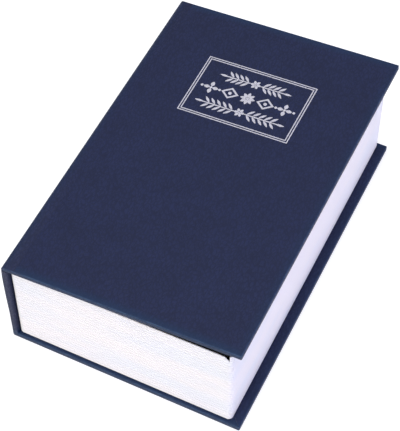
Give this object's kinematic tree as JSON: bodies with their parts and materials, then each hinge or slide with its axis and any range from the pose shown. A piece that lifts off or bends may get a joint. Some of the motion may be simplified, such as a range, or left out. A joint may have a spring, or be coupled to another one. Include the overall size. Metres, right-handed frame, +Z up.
{
  "type": "book money box",
  "caption": "Money box in the form of a bound book: cloth-grained case, moulded page block, steel cash box with hinged lid and cam lock.",
  "frame": {"origin": "centre of the back cover's underside", "axes": "+X from the spine to the fore edge, +Y from tail to head, +Z up through the front cover"},
  "size_m": [0.1161, 0.1786, 0.0639],
  "materials": {
    "leatherette": "embossed navy leatherette on paper, satin",
    "silver_foil": "hot-stamped silver foil, satin",
    "greyboard": "pressed greyboard",
    "endpaper": "plain endpaper, matt",
    "page_plastic": "white moulded plastic with leaf lines",
    "box_steel": "black powder coat on sheet steel",
    "zinc_steel": "zinc plated steel",
    "lock_chrome": "chromed die-cast zinc",
    "wafer_brass": "stamped brass"
  },
  "bodies": {
    "case": {"back_board": "greyboard", "spine_board": "greyboard", "spine_and_back_covering": "leatherette", "back_endpaper": "endpaper", "page_block": "page_plastic", "steel_box": "box_steel", "box_screws": "zinc_steel", "box_hinge_leaf": "box_steel", "hinge_pin": "zinc_steel", "box_leaf_rivets": "zinc_steel"},
    "front_cover": {"front_board": "greyboard", "front_covering": "leatherette", "front_endpaper": "endpaper"},
    "lid": {"lid_hinge_leaf": "box_steel", "lid_leaf_rivets": "zinc_steel", "steel_lid": "box_steel", "lock_housing": "lock_chrome", "lock_washer": "zinc_steel", "lock_nut": "zinc_steel"},
    "lock_core": {"lock_plug": "lock_chrome", "lock_wafers": "wafer_brass", "lock_cam": "zinc_steel", "cam_screw": "zinc_steel"}
  },
  "joints": [
    {"name": "cover_fold", "type": "hinge", "parent": "case", "child": "front_cover", "pos_m": [-0.058, 0, 0.0533], "axis": [0, -1, 0], "range_deg": [0, 172]},
    {"name": "lid_hinge", "type": "hinge", "parent": "case", "child": "lid", "pos_m": [-0.0501, 0, 0.0501], "axis": [0, -1, 0], "range_deg": [0, 100]},
    {"name": "lock_turn", "type": "hinge", "parent": "lid", "child": "lock_core", "pos_m": [0.0334, 0, 0.045], "axis": [0, 0, -1], "range_deg": [0, 90]}
  ],
  "couplings": [
    {"joint": "lid_hinge", "follows": "cover_fold", "ratio": 0.58}
  ]
}
